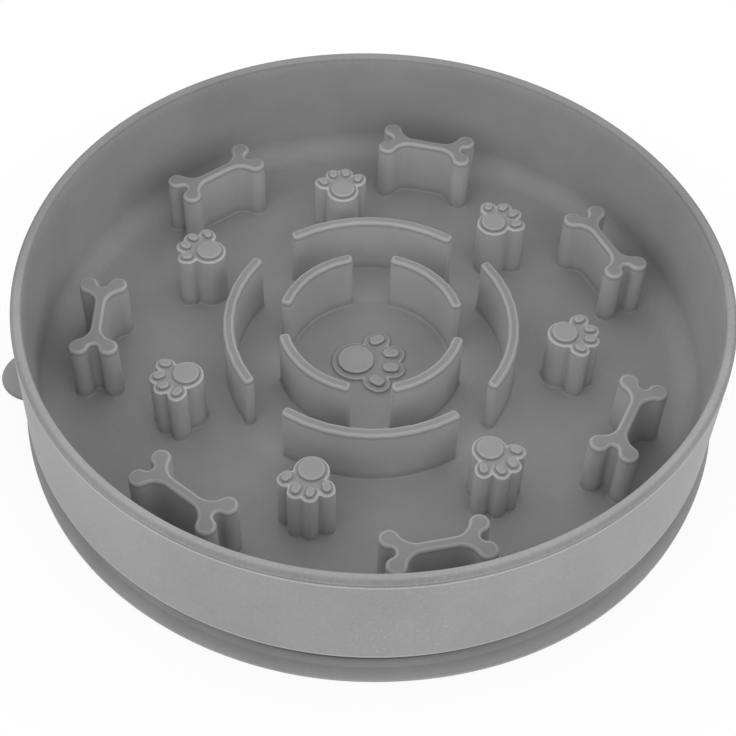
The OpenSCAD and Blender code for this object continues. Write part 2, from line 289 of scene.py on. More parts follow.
class Looks(bpy.types.PropertyGroup):
    """Colours and finish of the silicone, and the light."""

    inner_colour: colour("Inside", "Silicone of the floor", 0.31)
    wall_colour: colour("Inner wall", "Silicone of the inner wall", 0.31)
    # Corner: paler, painted light where the corner between floor and wall is shaded
    corner_light_colour: colour("Corner", "Silicone of the corner between floor and wall", 0.335)
    # Channel: paler, painted light on the floor between the rings of walls, where it is shaded
    channel_light_colour: colour("Channel", "Silicone of the floor between the two rings of walls", 0.34)
    # Post sides: paler, painted light on upright faces
    side_light_colour: colour("Post sides", "Silicone of the upright faces of posts and curved walls", 0.4)
    # Outside: paler than the inside, painted light on the outer wall
    outer_lit_colour: colour("Outside", "Silicone of the outer wall", 0.365)
    # Rim: painted light at the front, fading to painted shade at the back
    rim_colour: colour("Rim", "Silicone on top of the rim, at the front", 0.325)
    rim_rear_shade_colour: colour("Rear rim", "Silicone on top of the rim, at the back", 0.25)
    # Well paw: colour of the raised tops of the paw in the well
    relief_colour: colour("Well paw", "Rubbed silicone on top of the paw in the well", 0.3)
    # Tops: darker, painted shade on the up-facing tops of the posts
    top_shade_colour: colour("Tops", "Rubbed silicone on top of the posts", 0.238)
    base_colour: colour("Base", "Silicone of the suction base", 0.345)
    roughness: share("Roughness", "Roughness of the silicone", 0.55)
    mottle: share("Mottle", "How strongly the silicone's tone varies", 0.17)
    # Edges: strength of the painted highlights and painted shade along edges
    edges: share("Edges", "How much paler the rubbed edges are", 0.3)
    ambient: FloatProperty(name="Ambient", description="Strength of the light from all around",
                           default=1.38, min=0.0)
    zenith: share("Zenith", "Strength of the light from straight above, compared with that", 0.4)
    horizon: share("Horizon", "Strength of the light along the floor, compared with that", 0.6)
    front: share("Front", "How much higher up the light begins at the front", 0.35)
    windows: FloatProperty(name="Windows", description="Power of each of the two soft lamps at the front",
                           default=1.15, min=0.0, unit="POWER")
    shadow: share("Shadow", "How much of the floor's shading the camera sees", 0.11)


SETTINGS = {
    "feeder_bowl": BowlSizes,
    "feeder_base": BaseSizes,
    "feeder_posts": PostSizes,
    "feeder_paw": PawSizes,
    "feeder_looks": Looks,
}


# Node trees

class Term:
    """A node's output socket that takes part in Python expressions. On values they add Math nodes."""

    def __init__(self, graph, socket):
        self.graph = graph
        self.socket = socket

    def math(self, operation, *others):
        return self.graph.node("ShaderNodeMath", {"operation": operation}, dict(enumerate((self, *others))))

    def __add__(self, other):
        return self.math("ADD", other)

    __radd__ = __add__

    def __sub__(self, other):
        return self.math("SUBTRACT", other)

    def __rsub__(self, other):
        return self.graph.node("ShaderNodeMath", {"operation": "SUBTRACT"}, {0: other, 1: self})

    def __rtruediv__(self, other):
        return self.graph.node("ShaderNodeMath", {"operation": "DIVIDE"}, {0: other, 1: self})

    def __mul__(self, other):
        return self.math("MULTIPLY", other)

    __rmul__ = __mul__

    def __truediv__(self, other):
        return self.math("DIVIDE", other)

    def __pow__(self, other):
        return self.math("POWER", other)

    def ramp(self, low, high):
        """0 below low, 1 above high, and smooth between them."""
        return self.graph.node("ShaderNodeMapRange", {"interpolation_type": "SMOOTHSTEP"},
                               {"Value": self, "From Min": low, "From Max": high})


class Graph:
    """Adds nodes to a shader or geometry tree."""

    def __init__(self, tree):
        self.tree = tree

    def node(self, kind, settings=None, inputs=None, output=0):
        """A new node: its settings are set first, then the values or links of its sockets."""
        node = self.tree.nodes.new(kind)
        for name, value in (settings or {}).items():
            setattr(node, name, value)
        for name, value in (inputs or {}).items():
            if isinstance(value, Term):
                self.tree.links.new(value.socket, node.inputs[name])
            else:
                node.inputs[name].default_value = value
        return Term(self, node.outputs[output]) if node.outputs else None

    def outputs(self, term, *names):
        """Other outputs of the node that term comes from."""
        return [Term(self, term.socket.node.outputs[name]) for name in names]

    def split(self, vector):
        parts = self.node("ShaderNodeSeparateXYZ", inputs={0: vector}, output="X")
        return self.outputs(parts, "X", "Y", "Z")

    def join(self, x, y, z):
        return self.node("ShaderNodeCombineXYZ", inputs={"X": x, "Y": y, "Z": z})

    def mix(self, factor, low, high):
        """A colour between two others, each one a Term or a plain colour."""
        low, high = (end if isinstance(end, Term) else (*end, 1.0) for end in (low, high))
        return self.node("ShaderNodeMix", {"data_type": "RGBA", "clamp_factor": True},
                         {"Factor": factor, COLOUR_A: low, COLOUR_B: high}, output=COLOUR_RESULT)


def geometry_tree(name, sockets):
    """A new geometry tree with Geometry in and out and the given (name, type) inputs."""
    tree = bpy.data.node_groups.new(name, "GeometryNodeTree")
    tree.is_modifier = True
    for socket, kind in [("Geometry", "NodeSocketGeometry"), *sockets]:
        tree.interface.new_socket(socket, in_out="INPUT", socket_type=kind)
    tree.interface.new_socket("Geometry", in_out="OUTPUT", socket_type="NodeSocketGeometry")
    graph = Graph(tree)
    entry = graph.node("NodeGroupInput")
    return graph, graph.outputs(entry, "Geometry", *(socket for socket, kind in sockets))


def end_tree(graph, geometry):
    graph.node("NodeGroupOutput", inputs={"Geometry": geometry})
    return graph.tree


def turned_tree():
    """Turns a half section of points in the XZ plane about Z."""
    graph, (section, segments, material) = geometry_tree(
        "turned_section", [("Segments", "NodeSocketInt"), ("Material", "NodeSocketMaterial")])
    points = graph.node("GeometryNodeAttributeDomainSize", inputs={"Geometry": section})
    grid = graph.node("GeometryNodeMeshGrid", inputs={
        "Size X": 1.0, "Size Y": 1.0, "Vertices X": points, "Vertices Y": segments + 1})
    across, along, _ = graph.split(graph.node("GeometryNodeInputPosition"))
    index = ((across + 0.5) * (points - 1)).math("ROUND")
    angle = (along + 0.5) * math.tau
    sampled = graph.node("GeometryNodeSampleIndex", {"data_type": "FLOAT_VECTOR"}, {
        "Geometry": section, "Value": graph.node("GeometryNodeInputPosition"), "Index": index})
    painted_edge = graph.node("GeometryNodeSampleIndex", {"data_type": "FLOAT"}, {
        "Geometry": section, "Index": index,
        "Value": graph.node("GeometryNodeInputNamedAttribute", {"data_type": "FLOAT"}, {"Name": PAINTED_EDGES})})
    radius, _, height = graph.split(sampled)
    marked = graph.node("GeometryNodeStoreNamedAttribute", {"data_type": "FLOAT", "domain": "POINT"},
                        {"Geometry": grid, "Name": PAINTED_EDGES, "Value": painted_edge})
    place = graph.join(radius * angle.math("COSINE"), radius * angle.math("SINE"), height)
    moved = graph.node("GeometryNodeSetPosition", inputs={"Geometry": marked, "Position": place})
    return end_tree(graph, finish_nodes(graph, moved, material))


def ring_tree():
    """Stands copies of one post in a ring about Z, from the first direction and with the clock."""
    graph, (post, count, radius, height, first, turn, material) = geometry_tree("ring_of_posts", [
        ("Count", "NodeSocketInt"), ("Radius", "NodeSocketFloat"), ("Height", "NodeSocketFloat"),
        ("First Direction", "NodeSocketFloat"), ("Post Turn", "NodeSocketFloat"),
        ("Material", "NodeSocketMaterial")])
    angle = first - graph.node("GeometryNodeInputIndex") * (math.tau / count)
    place = graph.join(radius * angle.math("COSINE"), radius * angle.math("SINE"), height)
    points = graph.node("GeometryNodePoints", inputs={"Count": count, "Position": place})
    turned = graph.node("FunctionNodeEulerToRotation", inputs={0: graph.join(0.0, 0.0, angle + turn)})
    copies = graph.node("GeometryNodeInstanceOnPoints",
                        inputs={"Points": points, "Instance": post, "Rotation": turned})
    return end_tree(graph, finish_nodes(graph, copies, material))


def finish_nodes(graph, geometry, material):
    """Realizes, merges what touches, and sets the material."""
    real = graph.node("GeometryNodeRealizeInstances", inputs={"Geometry": geometry})
    merged = graph.node("GeometryNodeMergeByDistance",
                        inputs={"Geometry": real, "Distance": MERGE_DISTANCE})
    return graph.node("GeometryNodeSetMaterial", inputs={"Geometry": merged, "Material": material})


def grown(obj, tree, values):
    """The object's mesh after the tree, with values for the tree's named inputs."""
    modifier = obj.modifiers.new(tree.name, "NODES")
    modifier.node_group = tree
    for item in tree.interface.items_tree:
        if item.in_out == "INPUT" and item.name in values:
            modifier[item.identifier] = values[item.name]
    bpy.context.view_layer.update()
    evaluated = obj.evaluated_get(bpy.context.evaluated_depsgraph_get())
    mesh = bpy.data.meshes.new_from_object(evaluated)
    obj.modifiers.remove(modifier)
    return mesh


# Outlines and sections

Arc = namedtuple("Arc", "x y radius start end")


def arc_points(arc, spread=0.0, last=True):
    """Points on an arc. Against the clock it bulges and grows by spread, with the clock it is a hollow."""
    radius = arc.radius + (spread if arc.end > arc.start else -spread)
    steps = max(2, math.ceil(abs(arc.end - arc.start) / ARC_STEP))
    angles = np.linspace(arc.start, arc.end, steps + 1)[:steps + last]
    return np.stack([arc.x + radius * np.cos(angles), arc.y + radius * np.sin(angles)], axis=1)


def chain(arcs):
    """An outline function of spread, from arcs that run into each other or are joined by straight lines."""
    ends = [arc_points(arc)[[0, -1]] for arc in arcs]
    touching = [np.linalg.norm(ends[i][1] - ends[(i + 1) % len(ends)][0]) < MERGE_DISTANCE
                for i in range(len(arcs))]

    def outline(spread):
        return np.concatenate([arc_points(arc, spread, not joined) for arc, joined in zip(arcs, touching)])
    return outline


def towards(start, end):
    return math.atan2(end[1] - start[1], end[0] - start[0])


def unwound(angle, start, rising):
    """The same direction as angle, reached from start by turning against the clock, or else with it."""
    while rising and angle <= start:
        angle += math.tau
    while not rising and angle >= start:
        angle -= math.tau
    return angle


def bulge(centre, radius, start, end):
    """An arc that swells the outline, and so runs against the clock."""
    return Arc(*centre, radius, start, unwound(end, start, True))


def hollow(centre, radius, start, end):
    """An arc that dents the outline, and so runs with the clock."""
    return Arc(*centre, radius, start, unwound(end, start, False))


def stadium(half_length, radius, centre=(0.0, 0.0), turn=0.0):
    """Outline of an oval with round ends."""
    step = Vector((math.cos(turn), math.sin(turn))) * half_length
    near, far = Vector(centre) - step, Vector(centre) + step
    return chain([bulge(far, radius, turn - QUARTER, turn + QUARTER),
                  bulge(near, radius, turn + QUARTER, turn - QUARTER)])


def bone_outline(sizes):
    """Outline of a bone with its length along X."""
    half, rise = sizes.knob_pitch / 2, sizes.knob_spacing / 2
    blend_y = sizes.shaft / 2 + sizes.shaft_blend
    blend_x = half - math.sqrt((sizes.shaft_blend + sizes.knob_radius) ** 2 - (blend_y - rise) ** 2)
    notch_x = half + math.sqrt((sizes.notch + sizes.knob_radius) ** 2 - rise ** 2)
    arcs = []
    for right, up in ((1, 1), (-1, 1), (-1, -1), (1, -1)):
        knob = (right * half, up * rise)
        blend = (right * blend_x, up * blend_y)
        notch = (right * notch_x, 0.0)
        before, after = (notch, blend) if right * up > 0 else (blend, notch)
        middle = -up * QUARTER
        if right * up < 0:
            arcs.append(hollow(blend, sizes.shaft_blend, middle, towards(blend, knob)))
        arcs.append(bulge(knob, sizes.knob_radius, towards(knob, before), towards(knob, after)))
        if right * up > 0:
            arcs.append(hollow(blend, sizes.shaft_blend, towards(blend, knob), middle))
        else:
            other_knob = (knob[0], -knob[1])
            arcs.append(hollow(notch, sizes.notch, towards(notch, knob), towards(notch, other_knob)))
    return chain(arcs)


def curved_wall_outline(radius, slot, sizes):
    """Outline of a quarter of a ring, less half a slot at each end, with its middle on +X."""
    corner = sizes.wall_end_round
    half_turn = QUARTER / 2 - math.asin((slot / 2 + corner) / radius)
    half_wall = sizes.wall_thickness / 2

    def at(reach, angle):
        return reach * math.cos(angle), reach * math.sin(angle)
    far, near = radius + half_wall - corner, radius - half_wall + corner
    return chain([
        bulge((0.0, 0.0), radius + half_wall, -half_turn, half_turn),
        bulge(at(far, half_turn), corner, half_turn, half_turn + QUARTER),
        bulge(at(near, half_turn), corner, half_turn + QUARTER, half_turn + 2 * QUARTER),
        hollow((0.0, 0.0), radius - half_wall, half_turn, -half_turn),
        bulge(at(near, -half_turn), corner, 2 * QUARTER - half_turn, 3 * QUARTER - half_turn),
        bulge(at(far, -half_turn), corner, 3 * QUARTER - half_turn, 4 * QUARTER - half_turn),
    ])


def toe_places(sizes):
    """Centre and turn of each toe."""
    for side in (-1, 1):
        yield (sizes.toe_reach, side * sizes.toe_half_gap), 0.0
        yield (sizes.side_reach, side * sizes.side_half_gap), side * sizes.side_turn


def paw_outline(sizes, scale):
    """Outline function of a paw's ledge: its lobes run softly into each other."""
    rays = np.linspace(0, math.tau, PAW_RAYS, endpoint=False)
    middle = np.array([sizes.toe_reach * scale * PAW_MIDDLE, 0.0])
    heading = np.stack([np.cos(rays), np.sin(rays)], axis=1)
    reaches = np.arange(PAW_REACH * scale, PAW_CORE, -PAW_STEP) * MM

    def distance(points):
        """Distance to the paw's edge, below 0 inside it."""
        nearest = np.linalg.norm(points, axis=-1) - (sizes.pad + sizes.ledge) * scale
        for centre, turn in toe_places(sizes):
            along = np.array([math.cos(turn), math.sin(turn)])
            offset = points - np.array(centre) * scale
            half = sizes.toe_stretch * scale / 2
            shift = np.clip(offset @ along, -half, half)
            toe = np.linalg.norm(offset - shift[..., None] * along, axis=-1) \
                - (sizes.toe + sizes.ledge) * scale
            mix = np.clip(0.5 + (toe - nearest) / (2 * sizes.blend), 0, 1)
            nearest = toe + (nearest - toe) * mix - sizes.blend * mix * (1 - mix)
        return nearest

    def outline(spread):
        points = middle + reaches[None, :, None] * heading[:, None, :]
        inside = distance(points) < spread
        first = inside.argmax(axis=1)
        rows = np.arange(len(rays))
        outer, inner = points[rows, first - 1], points[rows, first]
        for _ in range(PAW_HALVINGS):
            half_way = (outer + inner) / 2
            within = (distance(half_way) < spread)[:, None]
            inner = np.where(within, half_way, inner)
            outer = np.where(within, outer, half_way)
        return (outer + inner) / 2
    return outline


def post_levels(height, top, foot, sunk=0.05 * MM, painted=0.0):
    """(spread, height, painted edge shading) of a post's levels, from its foot up to its top: a painted
    highlight on the top rounding and top edge, and more or less painted light on the top face.
    """
    turns = np.linspace(0, QUARTER, POST_ROUND_STEPS + 1)
    if foot > 0:
        straight = height - top - foot
        levels = [(foot + POST_SKIRT, -sunk, 0.0)]
        levels += [(foot * (1 - math.sin(turn)), foot * (1 - math.cos(turn)), 0.0) for turn in turns]
        levels += [(0.0, foot + straight * part, 0.0) for part in POST_SIDE_LEVELS]
    else:
        levels = [(0.0, -sunk, 0.0)]
    levels += [(0.0, height - top - TOP_SUPPORT * top, 0.0)]
    levels += [(top * (math.cos(turn) - 1), height - top + top * math.sin(turn),
                ROUNDING_HIGHLIGHT * math.sin(2 * turn) ** 0.5) for turn in turns[:-1]]
    levels += [(-top, height, TOP_EDGE_HIGHLIGHT + painted), (-top - TOP_INSET * top, height, painted)]
    return levels


def loft(bm, outline, levels):
    """Adds a closed post through outline(spread) at each level."""
    painted_edges = bm.verts.layers.float.get(PAINTED_EDGES) or bm.verts.layers.float.new(PAINTED_EDGES)
    rings = []
    for spread, height, painted_edge in levels:
        ring = [bm.verts.new((x, y, height)) for x, y in outline(spread)]
        for vert in ring:
            vert[painted_edges] = painted_edge
        rings.append(ring)
    for low, high in zip(rings, rings[1:]):
        for i in range(len(low)):
            bm.faces.new((low[i - 1], low[i], high[i], high[i - 1]))
    bm.faces.new(list(reversed(rings[0])))
    bm.faces.new(rings[-1])


def section_points(corners, gap=3 * MM, support=0.12 * MM):
    """Points of a turned section: (radius, height, painted edge shading) corners, and more points along
    straight runs.
    """
    points = [corners[0]]
    for start, end in zip(corners, corners[1:]):
        run = math.dist(start[:2], end[:2])
        if run > 4 * support:
            inner = run - 2 * support
            steps = max(1, round(inner / gap))
            for i in range(steps + 1):
                place = Vector(start).lerp(Vector(end), (support + inner * i / steps) / run)
                points.append((place.x, place.y, 0.0))
        points.append(end)
    return points


def rounded(centre, radius, start, end, painted_edges=0.0):
    """Points of a rounding in a section, with painted edge shading strongest in its middle. Angles in
    degrees.
    """
    points = arc_points(Arc(*centre, radius, math.radians(start), math.radians(end)))
    painted_edge = np.sin(np.linspace(0, math.pi, len(points))) * painted_edges
    return [(x, z, painted_here) for (x, z), painted_here in zip(points, painted_edge)]


# Pieces

def new_object(name, mesh):
    obj = bpy.data.objects.new(name, mesh)
    bpy.context.scene.collection.objects.link(obj)
    return obj


def mesh_from(bm, name):
    mesh = bpy.data.meshes.new(name)
    bm.to_mesh(mesh)
    bm.free()
    return mesh


def section_mesh(name, points):
    """A row of loose points in the XZ plane, with their painted edge shading."""
    mesh = bpy.data.meshes.new(name)
    mesh.from_pydata([(radius, 0.0, height) for radius, height, painted_edge in points], [], [])
    attribute = mesh.attributes.new(PAINTED_EDGES, "FLOAT", "POINT")
    attribute.data.foreach_set("value", [painted_edge for radius, height, painted_edge in points])
    return mesh


def finish_piece(name, mesh, material, body, nodes):
    """Closes and smooths a mesh, and makes it a piece that stands for CAD nodes."""
    bm = bmesh.new()
    bm.from_mesh(mesh)
    bmesh.ops.remove_doubles(bm, verts=bm.verts, dist=MERGE_DISTANCE)
    bmesh.ops.recalc_face_normals(bm, faces=bm.faces)
    for face in bm.faces:
        face.smooth = True
    bm.to_mesh(mesh)
    bm.free()
    mesh.materials.clear()
    mesh.materials.append(material)
    piece = new_object(name, mesh)
    if body is not None:
        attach(piece, body)
    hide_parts(*nodes)
    return piece


def turned_piece(name, points, material, node, outwards, cut=None):
    """A moulding turned from half a section, with its points moved outwards and a part cut away."""
    source = new_object(f"{name}_section", section_mesh(name, points))
    mesh = grown(source, turned_tree(), {"Segments": TURN_STEPS, "Material": material})
    bpy.data.objects.remove(source)
    push_out(mesh, outwards)
    if cut is not None:
        mesh = cut(mesh)
    return finish_piece(name, mesh, material, "bowl_body", [node])


def ring_piece(name, bm, values, material):
    """Copies of one post in a ring."""
    source = new_object(f"{name}_post", mesh_from(bm, name))
    values = {"Height": bpy.context.scene.feeder_bowl.floor, "Material": material, **values}
    mesh = grown(source, ring_tree(), values)
    bpy.data.objects.remove(source)
    return finish_piece(name, mesh, material, "bowl_body", RING_NODES[name])


def ring_radius(node):
    """Distance of a CAD node's middle from the axis."""
    low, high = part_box(node)
    return ((low + high) / 2).xy.length


# Soft silicone, which isn't truly round

def swell(angle, middle, spread):
    """1 at the middle direction, falling smoothly to 0 at spread on both sides of it."""
    away = (angle - middle + math.pi) % math.tau - math.pi
    return np.cos(np.clip(away / spread, -1, 1) * QUARTER) ** 2


def push_out(mesh, outwards):
    """Moves a turned mesh's points away from the axis by outwards(angle, radius, height)."""
    places = np.empty(len(mesh.vertices) * 3)
    mesh.vertices.foreach_get("co", places)
    places = places.reshape(-1, 3)
    radius = np.hypot(places[:, 0], places[:, 1])
    push = outwards(np.arctan2(places[:, 1], places[:, 0]), radius, places[:, 2])
    places[:, :2] *= (1 + push / np.maximum(radius, MM))[:, None]
    mesh.vertices.foreach_set("co", places.ravel())


def stray_of_wall(sizes):
    """How far the wall strays outwards: not at all at the corner, and most at the rim."""
    corner_top = sizes.floor + sizes.corner

    def outwards(angle, radius, height):
        rise = np.clip((height - corner_top) / (sizes.height - corner_top), 0, 1)
        waves = sum(size * np.sin(count * angle + start) for count, start, size in WALL_WAVES) - WAVE_INSET
        bend = swell(angle, sizes.bulge_angle, sizes.bulge_spread)
        return sizes.wobble * waves * rise ** 2 + sizes.bulge * bend * rise
    return outwards


def stray_of_lip(sizes):
    """How far the lip strays outwards: not at all inside the seal ring, and most at its edge."""

    def outwards(angle, radius, height):
        free = np.clip(1 - (sizes.lip_radius - radius) / sizes.seal_width, 0, 1)
        return free * (sizes.bulge * swell(angle, sizes.bulge_angle, sizes.bulge_spread)
                       - sizes.dent * swell(angle, sizes.dent_angle, sizes.dent_spread))
    return outwards


# Finish

class Silicone:
    """A material under construction: its graph, the place on the piece, and noise over it."""

    def __init__(self, name):
        self.material = bpy.data.materials.get(name) or bpy.data.materials.new(name)
        self.material.use_nodes = True
        self.material.node_tree.nodes.clear()
        self.graph = Graph(self.material.node_tree)
        self.place = self.graph.node("ShaderNodeTexCoord", output="Object")
        self.x, self.y, self.z = self.graph.split(self.place)
        self.radius = (self.x * self.x + self.y * self.y) ** 0.5

    def noise(self, scale, detail, rough=0.5):
        """Noise with scale features in a metre."""
        return self.graph.node("ShaderNodeTexNoise", inputs={
            "Vector": self.place, "Scale": scale, "Detail": detail, "Roughness": rough})

    def finish(self, base, dust=PLAIN_DUST):
        """Moulded silicone of the given colour: mottled, dusty, with painted highlights and painted shade
        along its edges.
        """
        looks = bpy.context.scene.feeder_looks
        graph = self.graph
        clouds = self.noise(42.0, 4.0, 0.6)
        blotches = self.noise(16.0, 2.0)
        specks = self.noise(950.0, 2.0).ramp(0.6, 0.74)
        powder = self.noise(1250.0, 3.0)
        grain = self.noise(2600.0, 3.0)
        # Painted highlights (above 0) and painted shade (below 0) along edges, read from the mesh's points
        painted_edges = graph.node("ShaderNodeAttribute", {"attribute_name": PAINTED_EDGES}, output="Fac")
        patches = self.noise(33.0, 3.0).ramp(0.5, 0.64)
        mottled = (clouds - 0.5 + (blotches - 0.5) * BLOTCHES) * looks.mottle * 2.0 + 1.0
        dusty = (specks * patches + (powder - 0.5) * POWDER) * dust + specks * PLAIN_SPECKS
        # Random mottle and dust, plus the painted edge highlights and painted shade
        tone = mottled + dusty + painted_edges * looks.edges
        varied = graph.node("ShaderNodeVectorMath", {"operation": "SCALE"}, {0: base, "Scale": tone})
        middle = looks.roughness - (CLOUD_ROUGHNESS + GRAIN_ROUGHNESS) / 2
        roughness = clouds * CLOUD_ROUGHNESS + grain * GRAIN_ROUGHNESS + middle - painted_edges * WEAR_POLISH
        bump = graph.node("ShaderNodeBump", inputs={
            "Strength": BUMP_STRENGTH, "Distance": BUMP_DEPTH, "Height": grain + specks * SPECK_RELIEF})
        shader = graph.node("ShaderNodeBsdfPrincipled", inputs={
            "Base Color": varied, "Roughness": roughness, "Normal": bump, "IOR": SILICONE_IOR})
        graph.node("ShaderNodeOutputMaterial", inputs={"Surface": shader})
        return self.material


def bowl_silicone():
    """Grey inside; paler with painted light and a little dusty outside and on the rim. Painted light also
    in the corner, in the channel and on the inner wall under the rim, and painted shade towards the back of
    the rim.
    """
    looks = bpy.context.scene.feeder_looks
    sizes = bpy.context.scene.feeder_bowl
    posts = bpy.context.scene.feeder_posts
    made = Silicone("bowl_finish")
    mix = made.graph.mix
    rim = sizes.foot_radius - sizes.flare
    # Painted light on the outer wall and the rim, which also carry more dust
    outside = made.radius.ramp(rim - sizes.wall - 0.2 * MM, rim)
    # Painted light on the inner wall just under the rim
    rim_inside_light = made.z.ramp(sizes.height - 6 * MM, sizes.height) \
        * made.radius.ramp(rim - 5 * MM, rim - 4 * MM)
    outside = outside.math("MAXIMUM", rim_inside_light * RIM_INSIDE_LIGHT)
    # Painted light at the front of the rim's top, painted shade at its back
    rim_top = made.z.ramp(sizes.height - 1.6 * MM, sizes.height - 0.9 * MM) \
        * made.radius.ramp(rim - 4 * MM, rim - 2 * MM)
    rim_front_to_back_shade = mix(made.y.ramp(-30 * MM, 30 * MM), looks.rim_colour, looks.rim_rear_shade_colour)
    # Painted light on the floor between the two rings of walls
    channel_light = made.radius.ramp(posts.inner_ring - 2 * MM, posts.inner_ring + 1 * MM) \
        * (1.0 - made.radius.ramp(posts.outer_ring, posts.outer_ring + 6 * MM))
    wall = made.radius.ramp(0.8 * rim, 0.9 * rim)
    high = made.z.ramp(sizes.floor + 5 * MM, sizes.floor + 20 * MM)
    relief_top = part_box("well_paw")[1].z
    # The raised tops of the paw in the well, given their own colour
    relief = made.z.ramp(relief_top - 0.8 * MM, relief_top - 0.2 * MM) * (1.0 - wall)
    inside = mix(channel_light, looks.inner_colour, looks.channel_light_colour)
    # Painted light in the corner between floor and wall
    inside = mix(wall * (1.0 - high), inside, looks.corner_light_colour)
    inside = mix(wall * high, inside, looks.wall_colour)
    inside = mix(relief, inside, looks.relief_colour)
    whole = mix(rim_top, mix(outside, inside, looks.outer_lit_colour), rim_front_to_back_shade)
    return made.finish(whole, outside * OUTSIDE_DUST + PLAIN_DUST)


def post_silicone():
    """Painted shade at the foot, as dark as the floor, painted light on the upright sides, and painted
    shade on the tops.
    """
    looks = bpy.context.scene.feeder_looks
    made = Silicone("post_finish")
    foot, top = POST_LOW.z, POST_HIGH.z
    # Painted shade at the foot, rising to painted light on the sides
    side = made.graph.mix(made.z.ramp(foot, foot + 4 * MM), looks.inner_colour, looks.side_light_colour)
    # Painted shade on the tops
    painted = made.z.ramp(top - 2.2 * MM, top - 0.4 * MM)
    return made.finish(made.graph.mix(painted, side, looks.top_shade_colour))


def base_silicone():
    """Painted shadow, darkest, under the bowl's edge, and painted light, palest, at the lip."""
    looks = bpy.context.scene.feeder_looks
    sizes = bpy.context.scene.feeder_base
    made = Silicone("base_finish")
    mix = made.graph.mix
    lip = sizes.lip_radius
    shadow_tone, shade_tone, lip_light_tone, tab = (tuple(part * grey for grey in looks.base_colour) for part in BASE_SHADES)
    # Painted shadow in the crease under the bowl's edge, painted shade under its overhang, painted light at
    # the lip
    upper = made.z.ramp(sizes.hollow, sizes.hollow + 0.25 * MM)
    overhang_shade = upper * (1.0 - made.radius.ramp(lip - 6.2 * MM, lip - 4 * MM))
    crease_shadow = upper * (1.0 - made.radius.ramp(lip - 6 * MM, lip - 5.3 * MM))
    tone = mix(crease_shadow, mix(overhang_shade, looks.base_colour, shade_tone), shadow_tone)
    tone = mix(made.radius.ramp(lip - sizes.lip_width, lip), tone, lip_light_tone)
    return made.finish(mix(made.radius.ramp(lip + 0.6 * MM, lip + 1.6 * MM), tone, tab))


# Steps

class FEEDER_OT_bowl(bpy.types.Operator):
    """Build the bowl's wall and floor as one turned moulding"""

    bl_idname = "feeder.bowl"
    bl_label = "Bowl"
    bl_options = {"REGISTER", "UNDO"}

    def execute(self, context):
        sizes = context.scene.feeder_bowl
        rim = sizes.foot_radius - sizes.flare
        rim_inside = rim - sizes.wall
        inner_foot = rim_inside - sizes.draft
        corner = inner_foot - sizes.corner, sizes.floor + sizes.corner
        outer_corner = sizes.corner + sizes.floor_thickness
        edge_low = sizes.floor + sizes.edge_rise
        edge_high = edge_low + sizes.edge_round
        rim_low = sizes.height - sizes.rim_round
        meeting = math.degrees(math.asin((edge_low - corner[1]) / outer_corner))
        points = [(0.0, sizes.floor - sizes.floor_thickness, 0.0)]
        points += rounded(corner, outer_corner, -90, meeting)
        # Painted highlight on the wall's lower rounding and on the line just above it
        points += rounded((sizes.foot_radius - sizes.edge_round, edge_high), sizes.edge_round, -90, 0,
                          LOWER_ROUNDING_HIGHLIGHT)
        points += [(sizes.foot_radius, edge_high + rise, painted_edge) for rise, painted_edge in LOWER_EDGE_LINE]
        # Painted highlight on the bead, painted shade in its groove and on the rim's outer rounding
        points += [(rim + out, rim_low - drop, painted_edge) for out, drop, painted_edge in RIM_BEAD]
        points += rounded((rim - sizes.rim_round, rim_low), sizes.rim_round, RIM_START, 90, RIM_ROUNDING_SHADE)
        points += rounded((rim_inside + sizes.rim_inner_round, sizes.height - sizes.rim_inner_round),
                          sizes.rim_inner_round, 90, 180)
        points += rounded(corner, sizes.corner, 0, -90)
        points += [(0.0, sizes.floor, 0.0)]
        turned_piece("bowl_moulding", section_points(points), bowl_silicone(), "bowl",
                     stray_of_wall(sizes))
        return {"FINISHED"}


def cut_recess(mesh):
    """Takes out the lip where the tab bends away from it."""
    sizes = bpy.context.scene.feeder_base
    inner, outer = sizes.lip_radius - sizes.tab_root, sizes.lip_radius + RECESS_PAST_LIP
    block = outer - inner, sizes.tab_width + 2 * sizes.tab_gap, 4 * sizes.lip_thickness
    bm = bmesh.new()
    bmesh.ops.create_cube(bm, size=1.0)
    bmesh.ops.scale(bm, verts=bm.verts, vec=block)
    bmesh.ops.translate(bm, verts=bm.verts, vec=((inner + outer) / 2, 0, 0))
    bmesh.ops.rotate(bm, verts=bm.verts, matrix=Matrix.Rotation(sizes.tab_angle, 3, "Z"))
    cutter = new_object("recess_cutter", mesh_from(bm, "recess_cutter"))
    whole = new_object("base_whole", mesh)
    cut = whole.modifiers.new("recess", "BOOLEAN")
    cut.operation, cut.solver, cut.object = "DIFFERENCE", "EXACT", cutter
    bpy.context.view_layer.update()
    evaluated = whole.evaluated_get(bpy.context.evaluated_depsgraph_get())
    result = bpy.data.meshes.new_from_object(evaluated)
    bpy.data.objects.remove(whole)
    bpy.data.objects.remove(cutter)
    return result


